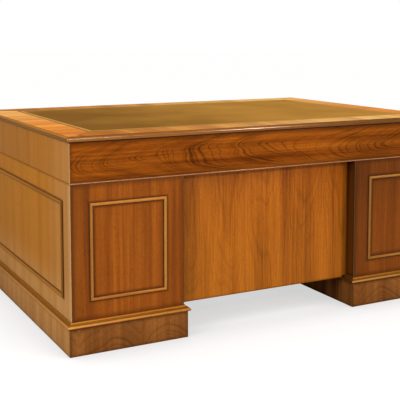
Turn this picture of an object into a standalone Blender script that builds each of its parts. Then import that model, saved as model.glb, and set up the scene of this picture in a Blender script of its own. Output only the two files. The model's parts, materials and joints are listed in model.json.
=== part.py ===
"""Pedestal desk with a leather top, built in three lifts: two pedestals and a top section.

Metres, +Z up, +X along the width. The visitor's side faces -Y and the drawers open towards +Y.
The origin is on the floor, in the middle of the desk's plan.
"""

import math

import bmesh
import bpy
from mathutils import Matrix, Vector

# Overall sizes
desk_height = 0.780
body_width = 1.670
body_depth = 1.146
pedestal_width = 0.442

# Clearances
seat_gap = 0.0003
slide_gap = 0.0015
pin_clearance = 0.0004
cut_overrun = 0.002
arris_round = 0.0006
weld_distance = 0.00003

# Top board and its moulded edge
top_thickness = 0.023
top_nose_reach = 0.011
top_nose_drop = 0.015
top_arris_reach = 0.004
top_quirk = 0.0015
top_cove_rise = 0.0050
leather_margin = 0.120
leather_thickness = 0.0018

# Frieze, the shallow box under the top
frieze_height = 0.141
frieze_thickness = 0.022
bead_height = 0.005
bead_reach = 0.002
floor_thickness = 0.015

# Pedestal boards
carcase_thickness = 0.020
corner_round = 0.0025
shelf_thickness = 0.018
base_thickness = 0.021
base_reach = 0.020
base_nose_height = 0.0095
base_nose_sweep = 80
base_fillet = 0.0025
plinth_height = 0.101
plinth_reach = 0.011
plinth_thickness = 0.020

# Modesty panel across the kneehole
modesty_setback = 0.051
modesty_thickness = 0.018
modesty_rise = 0.114

# Applied mouldings that frame the panels
panel_bead_width = 0.015
panel_bead_quirk = 0.0018
panel_bead_step = 0.0022
visitor_panel_margin = 0.070
end_panel_margin = 0.075
panel_rail_margin = 0.067

# Drawers
drawer_length = 0.560
drawer_side_thickness = 0.012
drawer_back_thickness = 0.012
drawer_bottom_thickness = 0.008
drawer_bottom_rise = 0.006
drawer_back_drop = 0.010
drawer_headroom = 0.012
cock_bead_width = 0.0036
cock_bead_reach = 0.0026
tail_cover = 0.006
tail_pitch = 0.040
tail_root_height = 0.018
tail_tip_height = 0.026

# Brass drop handles
plate_width = 0.106
plate_height = 0.044
plate_thickness = 0.002
post_centres = 0.076
post_flange_radius = 0.0066
post_flange_height = 0.0016
post_neck_radius = 0.0034
post_ball_radius = 0.0055
pivot_reach = 0.0115
bail_radius = 0.0030
bail_pin_radius = 0.0020
bail_drop = 0.034
bail_shoulder = 0.0070

# Keyholes over the handles, and the drawers that lock
key_height = 0.013
key_eye_radius = 0.0033
key_neck_width = 0.0030
key_foot_width = 0.0042
key_depth = 0.012
locked_drawers = ("frieze_left", "frieze_centre", "frieze_right", "right_file")

# Shares of half the plate's width and height, round one quarter of its outline
plate_quarter_shares = (
    (0.00, 1.00), (0.11, 0.94), (0.19, 0.76), (0.31, 0.64), (0.45, 0.68), (0.56, 0.84),
    (0.70, 0.92), (0.83, 0.80), (0.90, 0.56), (0.89, 0.34), (1.00, 0.18), (1.00, 0.00),
)
# Shares of the neck's reach past the post and of the bail's drop, from the pin to the middle of the bow
bail_neck_shares = ((0.00, 0.00), (0.72, 0.05), (1.00, 0.26), (0.66, 0.52), (-0.30, 0.70))
bail_bow_shares = ((0.62, 0.86), (0.30, 0.97))
# Rows of the same height that each drawer of a pedestal takes, from the top down
left_row_shares = (("upper", 1), ("middle", 1), ("lower", 1))
right_row_shares = (("upper", 1), ("file", 2))

# Numbers of facets
arc_steps = 4
turned_steps = 10
corner_steps = 2
bail_steps = 2
bail_facets = 2
smooth_limit = math.radians(40)

# Levels and faces worked out from the sizes
outer_reach = pivot_reach + post_ball_radius + plate_thickness + 2 * seat_gap
user_side_reach = max(base_reach, outer_reach)
face_shift = (user_side_reach - base_reach) / 2
visitor_face = -body_depth / 2 - face_shift
user_face = body_depth / 2 - face_shift
middle_y = (visitor_face + user_face) / 2
half_width = body_width / 2
kneehole_half = half_width - pedestal_width
pedestal_middle = (half_width + kneehole_half) / 2
top_underside = desk_height - top_thickness
bead_top = top_underside - frieze_height
floor_underside = bead_top - bead_height
floor_top = floor_underside + floor_thickness
pedestal_top = floor_underside - seat_gap
base_top = plinth_height + base_thickness
carcase_foot = base_top + seat_gap
front_thickness = frieze_thickness - slide_gap
front_back = user_face - front_thickness
floor_setback = frieze_thickness + seat_gap


def start_empty():
    """Remove what the scene holds and make the desk's two collections."""
    for thing in list(bpy.data.objects):
        bpy.data.objects.remove(thing, do_unlink=True)
    made = []
    for name in ("pedestal_desk", "cutters"):
        collection = bpy.data.collections.new(name)
        bpy.context.scene.collection.children.link(collection)
        made.append(collection)
    return made


parts, cutters = start_empty()


def finish_material(name, color, roughness, metallic=0.0):
    """Make one plain material from a linear colour."""
    material = bpy.data.materials.new(name)
    material.use_nodes = True
    shader = material.node_tree.nodes["Principled BSDF"]
    shader.inputs["Base Color"].default_value = (*color, 1.0)
    shader.inputs["Roughness"].default_value = roughness
    shader.inputs["Metallic"].default_value = metallic
    material.diffuse_color = (*color, 1.0)
    return material


veneer = finish_material("mahogany_veneer", (0.270, 0.085, 0.018), 0.32)
moulding_wood = finish_material("moulding_mahogany", (0.420, 0.170, 0.040), 0.30)
leather = finish_material("desk_leather", (0.150, 0.095, 0.030), 0.38)
brass = finish_material("polished_brass", (0.780, 0.520, 0.180), 0.25, 1.0)
drawer_wood = finish_material("drawer_oak", (0.480, 0.300, 0.140), 0.55)
carcase_wood = finish_material("carcase_timber", (0.330, 0.170, 0.070), 0.60)


def add_part(name, mesh, material, location=(0, 0, 0), rotation=(0, 0, 0), parent=None):
    """Link one named piece of the desk."""
    piece = bpy.data.objects.new(name, mesh)
    parts.objects.link(piece)
    if not mesh.materials:
        mesh.materials.append(material)
    piece.location = location
    piece.rotation_euler = rotation
    piece.parent = parent
    return piece


def add_cutter(name, mesh, parent=None, location=(0, 0, 0)):
    """Link a guide shape that only cuts or joins."""
    cutter = bpy.data.objects.new(name, mesh)
    cutters.objects.link(cutter)
    cutter.location = location
    cutter.parent = parent
    cutter.hide_render = True
    cutter.display_type = 'WIRE'
    return cutter


def mesh_of(name, shape):
    """Write a bmesh into a new mesh and free it."""
    bmesh.ops.recalc_face_normals(shape, faces=shape.faces)
    mesh = bpy.data.meshes.new(name)
    shape.to_mesh(mesh)
    shape.free()
    return mesh


def shade_round(mesh):
    """Shade the round faces smooth and keep the real edges sharp."""
    mesh.shade_smooth()
    mesh.set_sharp_from_angle(angle=smooth_limit)
    return mesh


def add_box(shape, low, high):
    """Add a box between two corners to a bmesh and return its vertices."""
    low, high = Vector(low), Vector(high)
    size = high - low
    place = Matrix.Translation((low + high) / 2) @ Matrix.Diagonal((*size, 1))
    return bmesh.ops.create_cube(shape, size=1, matrix=place)["verts"]


def ease_arrises(piece):
    """Break the sharp edges of a board by a hair."""
    bevel = piece.modifiers.new("arrises", 'BEVEL')
    bevel.width = arris_round
    bevel.segments = 1
    bevel.limit_method = 'ANGLE'


def board(name, low, high, material, parent=None):
    """A plain rectangular board between two corners, its origin at its middle."""
    middle = (Vector(low) + Vector(high)) / 2
    half = (Vector(high) - Vector(low)) / 2
    shape = bmesh.new()
    add_box(shape, -half, half)
    piece = add_part(name, mesh_of(name, shape), material, middle, parent=parent)
    ease_arrises(piece)
    return piece


def outline_mesh(name, points, thickness):
    """Fill a flat outline and give it a thickness about its own plane."""
    curve = bpy.data.curves.new(name, 'CURVE')
    curve.dimensions = '2D'
    curve.fill_mode = 'BOTH'
    curve.extrude = thickness / 2
    line = curve.splines.new('POLY')
    line.points.add(len(points) - 1)
    for point, (across, up) in zip(line.points, points):
        point.co = (across, up, 0, 1)
    line.use_cyclic_u = True
    return welded_mesh(name, curve)


def welded_mesh(name, curve):
    """Turn a curve into a closed mesh, with its caps joined on."""
    drawn = bpy.data.objects.new(name + "_drawn", curve)
    cutters.objects.link(drawn)
    bpy.context.view_layer.update()
    depsgraph = bpy.context.evaluated_depsgraph_get()
    mesh = bpy.data.meshes.new_from_object(drawn.evaluated_get(depsgraph))
    bpy.data.objects.remove(drawn, do_unlink=True)
    shape = bmesh.new()
    shape.from_mesh(mesh)
    bpy.data.meshes.remove(mesh)
    bmesh.ops.remove_doubles(shape, verts=shape.verts, dist=weld_distance)
    return mesh_of(name, shape)


def arc(middle, radii, start, end, steps):
    """Points of an elliptical arc as (outwards, upwards), angles in degrees from outwards."""
    points = []
    for step in range(steps + 1):
        angle = math.radians(start + (end - start) * step / steps)
        points.append((middle[0] + radii[0] * math.cos(angle), middle[1] + radii[1] * math.sin(angle)))
    return points


def set_ring(corners, half_x, half_y, outwards, upwards):
    """Move four corner vertices to one point of a profile."""
    for corner in corners:
        across = math.copysign(half_x + outwards, corner.co.x)
        along = math.copysign(half_y + outwards, corner.co.y)
        corner.co = (across, along, upwards)


def profile_sweep(shape, half_x, half_y, profile):
    """Extrude a rectangle from point to point of an (outwards, upwards) profile; first and last rings."""
    corners = bmesh.ops.create_grid(shape, x_segments=1, y_segments=1, size=1)["verts"]
    bmesh.ops.delete(shape, geom=shape.faces[:], context='FACES_ONLY')
    set_ring(corners, half_x, half_y, *profile[0])
    first = ring = shape.edges[:]
    for outwards, upwards in profile[1:]:
        grown = bmesh.ops.extrude_edge_only(shape, edges=ring)["geom"]
        corners = [item for item in grown if isinstance(item, bmesh.types.BMVert)]
        set_ring(corners, half_x, half_y, outwards, upwards)
        ring = [item for item in grown if isinstance(item, bmesh.types.BMEdge)]
    return first, ring


def moulded_board(name, half_x, half_y, profile):
    """A solid board whose four edges follow a profile, from the ring below to the ring above."""
    shape = bmesh.new()
    for ring in profile_sweep(shape, half_x, half_y, profile):
        bmesh.ops.edgeloop_fill(shape, edges=ring)
    return shade_round(mesh_of(name, shape))


def mitred_frame(name, half_x, half_y, profile):
    """A frame of four mitred lengths with the same closed profile."""
    shape = bmesh.new()
    profile_sweep(shape, half_x, half_y, profile + profile[:1])
    bmesh.ops.remove_doubles(shape, verts=shape.verts, dist=weld_distance)
    return shade_round(mesh_of(name, shape))


def join(piece, other, operation):
    """Add or cut another closed mesh, kept as a live step."""
    step = piece.modifiers.new(operation.lower(), 'BOOLEAN')
    step.operation = operation
    step.object = other
    step.solver = 'EXACT'
    return step


def build_top():
    """The top board: cove, ovolo nose, quirk, crossbanded border and the recess for the leather."""
    tip_rise = top_thickness - top_nose_drop
    lip_reach = top_nose_reach - top_quirk
    shoulder = top_arris_reach + top_quirk
    cove = arc((lip_reach, 0), (-lip_reach, top_cove_rise), 0, 90, arc_steps)
    nose = arc((shoulder, tip_rise), (top_nose_reach - shoulder, top_nose_drop - top_quirk), 0, 90, arc_steps + 1)
    recess = top_arris_reach - leather_margin
    profile = cove + nose
    profile.append((top_arris_reach, top_thickness - top_quirk))
    profile.append((top_arris_reach, top_thickness))
    profile.append((recess, top_thickness))
    profile.append((recess, top_thickness - leather_thickness - seat_gap))
    mesh = moulded_board("table_top", half_width, body_depth / 2, profile)
    add_part("table_top", mesh, veneer, (0, middle_y, top_underside))

    inset = Vector((half_width + recess - seat_gap, body_depth / 2 + recess - seat_gap, 0))
    foot = desk_height - leather_thickness
    board("leather_inset", (-inset.x, middle_y - inset.y, foot), (inset.x, middle_y + inset.y, desk_height), leather)


def mitred_run(half_run, thickness, low_mitred, high_mitred):
    """Plan of a board whose mitred ends carry half of the rounded corner that two boards make."""
    rounds = (corner_round, corner_round)
    low_end = [(-half_run, thickness), (-half_run, 0)]
    high_end = [(half_run, 0), (half_run, thickness)]
    if low_mitred:
        low_end = [(thickness - half_run, thickness)]
        low_end += arc((corner_round - half_run, corner_round), rounds, 225, 270, corner_steps)
    if high_mitred:
        high_end = arc((half_run - corner_round, corner_round), rounds, -90, -45, corner_steps)
        high_end.append((half_run - thickness, thickness))
    return low_end + high_end


def upright_board(name, plan, foot, head, material, location, turn):
    """A board drawn in plan and standing from its foot to its head."""
    mesh = outline_mesh(name, plan, head - foot)
    place = (location[0], location[1], (foot + head) / 2)
    return add_part(name, mesh, material, place, (0, 0, turn))


def build_carcase_wall(name, half_run, thickness, foot, head, location, turn, mitres):
    """A veneered wall whose mitred ends meet the next walls with a seat gap between."""
    trim = seat_gap / 2
    plan = mitred_run(half_run - trim, thickness, *mitres)
    upright_board(name, plan, foot, head, veneer, location, turn)


def build_frieze():
    """The box of the top section: long front board, ends, drawer dividers and the floor with its bead."""
    foot = bead_top + seat_gap
    head = top_underside - seat_gap
    build_carcase_wall("frieze_front_board", half_width, frieze_thickness, foot, head,
                       (0, visitor_face), 0, (True, True))
    for side, name in ((-1, "frieze_end_left"), (1, "frieze_end_right")):
        build_carcase_wall(name, body_depth / 2, frieze_thickness, foot, head,
                           (side * half_width, middle_y), side * math.pi / 2, (side > 0, side < 0))

    bead_round = bead_height / 2
    nose = arc((bead_reach - bead_round, bead_round), (bead_round, bead_round), -90, 90, arc_steps)
    profile = nose + [(-floor_setback, bead_height), (-floor_setback, floor_thickness)]
    mesh = moulded_board("frieze_floor", half_width, body_depth / 2, profile)
    add_part("frieze_floor", mesh, moulding_wood, (0, middle_y, floor_underside))

    back = visitor_face + frieze_thickness + seat_gap
    nib = user_face - floor_setback + seat_gap
    low, high = floor_top + seat_gap, head
    outline = [(back, low), (nib, low), (nib, foot), (user_face, foot), (user_face, high), (back, high)]
    for side, name in ((-1, "frieze_divider_left"), (1, "frieze_divider_right")):
        mesh = outline_mesh(name, outline, carcase_thickness)
        across = side * (kneehole_half + carcase_thickness / 2)
        add_part(name, mesh, veneer, (across, 0, 0), (math.pi / 2, 0, math.pi / 2))


def build_modesty_panel():
    """The set-back panel across the kneehole, notched over the base mouldings."""
    half = kneehole_half - seat_gap
    notch = half - base_reach
    step = carcase_foot
    head = pedestal_top
    outline = [(-notch, modesty_rise), (notch, modesty_rise), (notch, step), (half, step),
               (half, head), (-half, head), (-half, step), (-notch, step)]
    mesh = outline_mesh("modesty_panel", outline, modesty_thickness)
    across = visitor_face + modesty_setback + modesty_thickness / 2
    add_part("modesty_panel", mesh, veneer, (0, across, 0), (math.pi / 2, 0, 0))


def base_profile():
    """Edge of the base board: a round nose, a cove above it and a fillet under the carcase."""
    nose_round = base_nose_height / 2
    nose_middle = (base_reach - nose_round, nose_round)
    nose = arc(nose_middle, (nose_round, nose_round), -90, base_nose_sweep, arc_steps + 1)
    cove_foot = nose[-1]
    cove_rise = base_thickness - base_fillet - cove_foot[1]
    cove_run = cove_foot[0] - base_fillet
    cove = arc((cove_foot[0], cove_foot[1] + cove_rise), (cove_run, cove_rise), -90, -180, arc_steps)
    return nose + cove[1:] + [(base_fillet, base_thickness)]


def bead_profile():
    """Section of the applied panel moulding: a half round bead between two flat quirks."""
    bead_round = panel_bead_width / 2 - panel_bead_quirk
    bead = arc((-panel_bead_width / 2, panel_bead_step), (bead_round, bead_round), 0, 180, arc_steps + 1)
    foot = [(0, 0), (0, panel_bead_step)]
    return foot + bead + [(-panel_bead_width, panel_bead_step), (-panel_bead_width, 0)]


def build_pedestal(side, word, rows):
    """One pedestal: plinth, moulded base, three veneered walls, top and shelves, panel mouldings."""
    middle = side * pedestal_middle
    half_depth = body_depth / 2
    outer = side * half_width
    inner = side * kneehole_half
    head = pedestal_top

    foot_profile = [(plinth_reach - plinth_thickness, 0), (plinth_reach, 0),
                    (plinth_reach, plinth_height - seat_gap),
                    (plinth_reach - plinth_thickness, plinth_height - seat_gap)]
    plinth = mitred_frame(word + "_plinth", pedestal_width / 2, half_depth, foot_profile)
    add_part(word + "_plinth", plinth, veneer, (middle, middle_y, 0))
    base = moulded_board(word + "_base_board", pedestal_width / 2, half_depth, base_profile())
    add_part(word + "_base_board", base, moulding_wood, (middle, middle_y, plinth_height))

    build_carcase_wall(word + "_visitor_panel", pedestal_width / 2, carcase_thickness, carcase_foot, head,
                       (middle, visitor_face), 0, (True, True))
    for name, across, turn, mitres in ((word + "_outer_side", outer, side * math.pi / 2, (side > 0, side < 0)),
                                       (word + "_inner_side", inner, -side * math.pi / 2, (side < 0, side > 0))):
        build_carcase_wall(name, half_depth, carcase_thickness, carcase_foot, head,
                           (across, middle_y), turn, mitres)

    inside_half = pedestal_width / 2 - carcase_thickness - seat_gap
    back = visitor_face + carcase_thickness + seat_gap
    level = head
    board(word + "_top_board", (middle - inside_half, back, level - shelf_thickness),
          (middle + inside_half, user_face, level), carcase_wood)
    for name, place in shelf_levels(word, rows):
        board(name, (middle - inside_half, back, place - shelf_thickness),
              (middle + inside_half, user_face, place), carcase_wood)

    section = bead_profile()
    half_rise = (head - carcase_foot) / 2 - panel_rail_margin
    middle_z = (head + carcase_foot) / 2
    mesh = mitred_frame(word + "_panel_moulding", pedestal_width / 2 - visitor_panel_margin, half_rise, section)
    add_part(word + "_panel_moulding", mesh, moulding_wood,
             (middle, visitor_face - seat_gap, middle_z), (math.pi / 2, 0, 0))
    mesh = mitred_frame(word + "_end_panel_moulding", half_depth - end_panel_margin, half_rise, section)
    add_part(word + "_end_panel_moulding", mesh, moulding_wood,
             (outer + side * seat_gap, middle_y, middle_z), (math.pi / 2, 0, side * math.pi / 2))


def row_height():
    """Clear height of one drawer row in a pedestal of three rows."""
    clear = pedestal_top - shelf_thickness - base_top
    return (clear - 2 * shelf_thickness) / 3


def pedestal_openings(rows):
    """Each drawer's name with the floor and the ceiling of its opening, from the top down."""
    ceiling = pedestal_top - shelf_thickness
    openings = []
    for word, count in rows:
        floor = ceiling - count * row_height() - (count - 1) * shelf_thickness
        openings.append((word, floor, ceiling))
        ceiling = floor - shelf_thickness
    return openings


def shelf_levels(word, rows):
    """Names and top faces of the shelves between one pedestal's drawers."""
    floors = [floor for name, floor, ceiling in pedestal_openings(rows)][:-1]
    return [(f"{word}_shelf_{number + 1}", floor) for number, floor in enumerate(floors)]


def front_mesh(name, width, height):
    """A drawer front: a board with a cock bead standing proud all round its face."""
    face = front_thickness
    round_half = cock_bead_width / 2
    bead = arc((-round_half, face), (round_half, cock_bead_reach), 0, 180, arc_steps)
    return moulded_board(name, width / 2, height / 2, [(0, 0)] + bead)


def dovetails(name, width, rise, spread):
    """Wedges at the two ends of a drawer front, wider at their tips: tails, or sockets when spread."""
    count = max(2, round(rise / tail_pitch))
    length = front_thickness - tail_cover
    shape = bmesh.new()
    for side in (-1, 1):
        outer = side * (width / 2 + (cut_overrun if spread else 0))
        inner = side * (width / 2 - drawer_side_thickness - spread)
        for number in range(count):
            level = rise * (number + 0.5) / count
            wedge = add_box(shape, (min(outer, inner), -cut_overrun, level - tail_root_height / 2 - spread),
                            (max(outer, inner), length - seat_gap + spread, level + tail_root_height / 2 + spread))
            widen = (tail_tip_height - tail_root_height) / 2
            for vertex in wedge:
                if vertex.co.y > 0:
                    vertex.co.z += widen if vertex.co.z > level else -widen
    return mesh_of(name, shape)


def keyhole_outline():
    """A keyhole: a round eye over a slot that widens towards its foot."""
    eye = (0, key_height / 2 - key_eye_radius)
    neck = math.degrees(math.asin(key_neck_width / 2 / key_eye_radius))
    outline = arc(eye, (key_eye_radius, key_eye_radius), neck - 90, 270 - neck, 2 * turned_steps)
    return outline + [(-key_foot_width / 2, -key_height / 2), (key_foot_width / 2, -key_height / 2)]


def build_drawer(word, middle, opening_width, floor, ceiling, front_foot, front_head, handle_mesh, bail_mesh):
    """One drawer: cocked front, dovetailed box, brass handle plate and bail, all on one empty."""
    carrier = bpy.data.objects.new(word + "_drawer", None)
    parts.objects.link(carrier)
    carrier.location = (middle, front_back, floor)
    width = opening_width - 2 * slide_gap
    rise = ceiling - floor - drawer_headroom

    low, high = front_foot + slide_gap - floor, front_head - slide_gap - floor
    front = add_part(word + "_drawer_front", front_mesh(word + "_drawer_front", width, high - low),
                     veneer, (0, 0, (low + high) / 2), (-math.pi / 2, 0, 0), carrier)
    sockets = add_cutter(word + "_sockets", dovetails(word + "_sockets", width, rise, seat_gap),
                         carrier, (0, 0, seat_gap))
    join(front, sockets, 'DIFFERENCE')

    shape = bmesh.new()
    add_box(shape, (-width / 2, -seat_gap - drawer_length, 0), (width / 2, -seat_gap, rise))
    box = add_part(word + "_drawer_box", mesh_of(word + "_drawer_box", shape),
                   drawer_wood, (0, 0, seat_gap), parent=carrier)
    inside = width / 2 - drawer_side_thickness
    tail_end = -seat_gap - drawer_length
    bottom_top = drawer_bottom_rise + drawer_bottom_thickness
    outline = [(cut_overrun, bottom_top), (cut_overrun, rise + cut_overrun),
               (tail_end - cut_overrun, rise + cut_overrun), (tail_end - cut_overrun, rise - drawer_back_drop),
               (tail_end + drawer_back_thickness, rise - drawer_back_drop),
               (tail_end + drawer_back_thickness, bottom_top)]
    hollow = add_cutter(word + "_hollow", outline_mesh(word + "_hollow", outline, 2 * inside),
                        carrier, (0, 0, seat_gap))
    hollow.rotation_euler = (math.pi / 2, 0, math.pi / 2)
    join(box, hollow, 'DIFFERENCE')
    shape = bmesh.new()
    add_box(shape, (-inside, tail_end - cut_overrun, -cut_overrun), (inside, cut_overrun, drawer_bottom_rise))
    recess = add_cutter(word + "_recess", mesh_of(word + "_recess", shape), carrier, (0, 0, seat_gap))
    join(box, recess, 'DIFFERENCE')
    tails = add_cutter(word + "_tails", dovetails(word + "_tails", width, rise, 0), carrier, (0, 0, seat_gap))
    join(box, tails, 'UNION')

    handle_level = max((low + high) / 2, high - row_height() / 2)
    if word in locked_drawers:
        key_level = (handle_level + plate_height / 2 + high - cock_bead_width) / 2
        keyhole = add_cutter(word + "_keyhole", outline_mesh(word + "_keyhole", keyhole_outline(), 2 * key_depth),
                             carrier, (0, front_thickness, key_level))
        keyhole.rotation_euler = (math.pi / 2, 0, 0)
        join(front, keyhole, 'DIFFERENCE')
    face = front_thickness + seat_gap
    add_part(word + "_handle_plate", handle_mesh, brass, (0, face, handle_level), parent=carrier)
    pivot = face + plate_thickness + pivot_reach
    add_part(word + "_bail", bail_mesh, brass, (0, pivot, handle_level), parent=carrier)


def plate_outline():
    """The shaped plate's outline, clockwise: one quarter mirrored to the other three."""
    half_across, half_up = plate_width / 2, plate_height / 2
    quarter = [(x * half_across, z * half_up) for x, z in plate_quarter_shares]
    right = quarter + [(x, -z) for x, z in reversed(quarter[:-1])]
    left = [(-x, z) for x, z in reversed(right[1:-1])]
    return right + left


def post_cutter(across):
    """A turned post standing on the plate: ball, neck and flange, its foot sunk in the plate."""
    ball_end = -math.degrees(math.acos(post_neck_radius / post_ball_radius))
    ball = arc((0, pivot_reach), (post_ball_radius, post_ball_radius), 90, ball_end, arc_steps + 1)
    ball[0] = (0, pivot_reach + post_ball_radius)
    profile = ball + [(post_neck_radius, 2 * post_flange_height), (post_flange_radius, post_flange_height),
                      (post_flange_radius, -plate_thickness / 2), (0, -plate_thickness / 2)]
    shape = bmesh.new()
    points = [shape.verts.new((radius, 0, height)) for radius, height in profile]
    for pair in zip(points, points[1:]):
        shape.edges.new(pair)
    mesh = bpy.data.meshes.new("post")
    shape.to_mesh(mesh)
    shape.free()
    post = add_cutter("post", mesh, location=(across, 0, plate_thickness / 2))
    turning = post.modifiers.new("turning", 'SCREW')
    turning.axis = 'Z'
    turning.steps = turning.render_steps = turned_steps
    turning.use_merge_vertices = True
    turning.merge_threshold = weld_distance
    return post


def handle_plate_mesh():
    """The plate with its two posts joined on and bored for the bail's pins."""
    plate = add_part("plate_drawn", outline_mesh("plate_drawn", plate_outline(), plate_thickness), brass)
    for side in (-1, 1):
        join(plate, post_cutter(side * post_centres / 2), 'UNION')
    shape = bmesh.new()
    bore = (bail_pin_radius + pin_clearance) / math.cos(math.pi / turned_steps)
    along = Matrix.Translation((0, 0, plate_thickness / 2 + pivot_reach)) @ Matrix.Rotation(math.pi / 2, 4, 'Y')
    bmesh.ops.create_cone(shape, cap_ends=True, segments=turned_steps, radius1=bore, radius2=bore,
                          depth=plate_width, matrix=along)
    join(plate, add_cutter("pin_bore", mesh_of("pin_bore", shape)), 'DIFFERENCE')
    bpy.context.view_layer.update()
    depsgraph = bpy.context.evaluated_depsgraph_get()
    mesh = bpy.data.meshes.new_from_object(plate.evaluated_get(depsgraph))
    mesh.name = "handle_plate"
    mesh.transform(Matrix.Translation((0, plate_thickness / 2, 0)) @ Matrix.Rotation(-math.pi / 2, 4, 'X'))
    bpy.data.objects.remove(plate, do_unlink=True)
    return shade_round(mesh)


def bail_path():
    """Right half of the bail from its pin's inner end to the bow, as (across, down) from the axis."""
    post = post_centres / 2
    start = post + post_ball_radius
    path = [(post - post_neck_radius, 0.0)]
    path += [(start + bail_shoulder * across, bail_drop * down) for across, down in bail_neck_shares]
    path += [(post * across, bail_drop * down) for across, down in bail_bow_shares]
    return path


def make_bail_mesh():
    """The swan-necked bail: thin pins and necks that swell into the bow."""
    half = bail_path()
    whole = half + [(0.0, bail_drop)] + [(-across, down) for across, down in reversed(half)]
    curve = bpy.data.curves.new("bail", 'CURVE')
    curve.dimensions = '3D'
    curve.bevel_depth = bail_radius
    curve.bevel_resolution = bail_facets
    curve.resolution_u = bail_steps
    curve.use_fill_caps = True
    line = curve.splines.new('BEZIER')
    line.bezier_points.add(len(whole) - 1)
    thin = bail_pin_radius / bail_radius
    for number, (point, (across, down)) in enumerate(zip(line.bezier_points, whole)):
        point.co = (across, 0, -down)
        point.handle_left_type = point.handle_right_type = 'AUTO'
        from_end = min(number, len(whole) - 1 - number)
        point.radius = min(1, thin + (1 - thin) * max(0, from_end - 1) / (len(half) - 1))
    for number in (0, 1, -2, -1):
        point = line.bezier_points[number]
        point.handle_left_type = point.handle_right_type = 'VECTOR'
    return shade_round(welded_mesh("bail", curve))


def build_drawers():
    """Three drawers in the frieze, three on the left and a shallow and a file drawer on the right."""
    handle_mesh, bail_mesh = handle_plate_mesh(), make_bail_mesh()
    frieze = (("frieze_left", -1), ("frieze_centre", 0), ("frieze_right", 1))
    for word, side in frieze:
        outer, inner = half_width - frieze_thickness, kneehole_half + carcase_thickness
        middle = side * (outer + inner) / 2
        opening = outer - inner if side else 2 * kneehole_half
        build_drawer(word, middle, opening, floor_top, top_underside, bead_top, top_underside,
                     handle_mesh, bail_mesh)
    for side, word, rows in ((-1, "left", left_row_shares), (1, "right", right_row_shares)):
        opening = pedestal_width - 2 * carcase_thickness
        for name, floor, ceiling in pedestal_openings(rows):
            build_drawer(f"{word}_{name}", side * pedestal_middle, opening, floor, ceiling, floor, ceiling,
                         handle_mesh, bail_mesh)


def main():
    """Build the whole desk."""
    build_top()
    build_frieze()
    build_modesty_panel()
    build_pedestal(-1, "left", left_row_shares)
    build_pedestal(1, "right", right_row_shares)
    build_drawers()


main()
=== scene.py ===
"""Looks of a pedestal desk: polished veneers, mouldings, hide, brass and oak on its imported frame.

Metres, +Z up, +X along the width. The visitor's side faces -Y and the drawers open towards +Y.
"""

import json
import math
from functools import partial

import bmesh
import bpy
from bpy.props import FloatProperty, FloatVectorProperty, PointerProperty
from mathutils import Matrix, Vector


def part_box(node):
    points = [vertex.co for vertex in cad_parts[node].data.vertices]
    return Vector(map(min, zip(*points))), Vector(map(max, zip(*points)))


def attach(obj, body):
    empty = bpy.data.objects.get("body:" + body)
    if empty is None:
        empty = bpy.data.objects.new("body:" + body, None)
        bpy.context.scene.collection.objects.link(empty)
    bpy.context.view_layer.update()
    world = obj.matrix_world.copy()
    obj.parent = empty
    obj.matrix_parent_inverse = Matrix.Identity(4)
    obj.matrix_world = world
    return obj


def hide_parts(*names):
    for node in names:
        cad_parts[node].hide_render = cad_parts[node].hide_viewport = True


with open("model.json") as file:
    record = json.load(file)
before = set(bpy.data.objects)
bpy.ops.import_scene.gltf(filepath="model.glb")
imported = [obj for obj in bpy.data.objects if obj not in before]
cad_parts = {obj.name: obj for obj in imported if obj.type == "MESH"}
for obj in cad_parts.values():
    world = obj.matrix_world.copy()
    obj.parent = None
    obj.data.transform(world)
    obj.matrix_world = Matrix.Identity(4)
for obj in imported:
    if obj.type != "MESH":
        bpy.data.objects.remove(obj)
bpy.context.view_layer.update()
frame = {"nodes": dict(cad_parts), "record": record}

bl_info = {
    "name": "Pedestal Desk",
    "version": (1, 0, 0),
    "blender": (4, 5, 0),
    "location": "View3D > Sidebar > Desk",
    "description": "Builds a veneered pedestal desk with a leather top round its packed frame",
    "category": "Add Mesh",
}

drawer_words = ("frieze_left", "frieze_centre", "frieze_right", "left_upper", "left_middle", "left_lower",
                "right_upper", "right_file")
locked_words = ("frieze_left", "frieze_centre", "frieze_right", "right_file")

mm = 0.001
weld = 0.01 * mm
shortest_arris = 60 * mm
flat_angle = math.radians(0.5)
smooth_angle = math.radians(38)
round_steps = 8
# How far the grain wanders, and how much of each finer layer shows over a wood's colour bands
wander_mm = 16
stripe_share, fibre_share, leaf_share = 0.42, 0.16, 0.14
# Metres, past every piece
far = 9
far_low, far_high = Vector((-far, -far, -far)), Vector((far, far, far))

# What repeats in the woods: streaks of solid lengths, and the polish of bright, honey and end surfaces
solid = {"band_mm": 30, "stripe_mm": 8}
bright = {"gloss": 0.16, "specular": 0.5}
honeyed = {"gloss": 0.28, "specular": 0.3}
dulled = {"gloss": 0.5, "specular": 0.06}
end_solid = {**solid, **dulled, "contrast": 0.6}
colour_mix = {"output": 2, "data_type": 'RGBA'}


def linear(hex_colour):
    """Turn an sRGB hex colour into the linear values that shaders use."""
    channels = [int(hex_colour[place:place + 2], 16) / 255 for place in (1, 3, 5)]
    return tuple(c / 12.92 if c <= 0.04045 else ((c + 0.055) / 1.055) ** 2.4 for c in channels)


def length(name, description, millimetres):
    """A length the user can set, written here in millimetres."""
    return FloatProperty(name=name, description=description, default=millimetres * mm, min=0, unit='LENGTH')


def colour(name, description, hex_colour):
    """A colour the user can set, written here as sRGB hex."""
    return FloatVectorProperty(name=name, description=description, default=linear(hex_colour),
                               min=0, max=1, subtype='COLOR')


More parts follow.
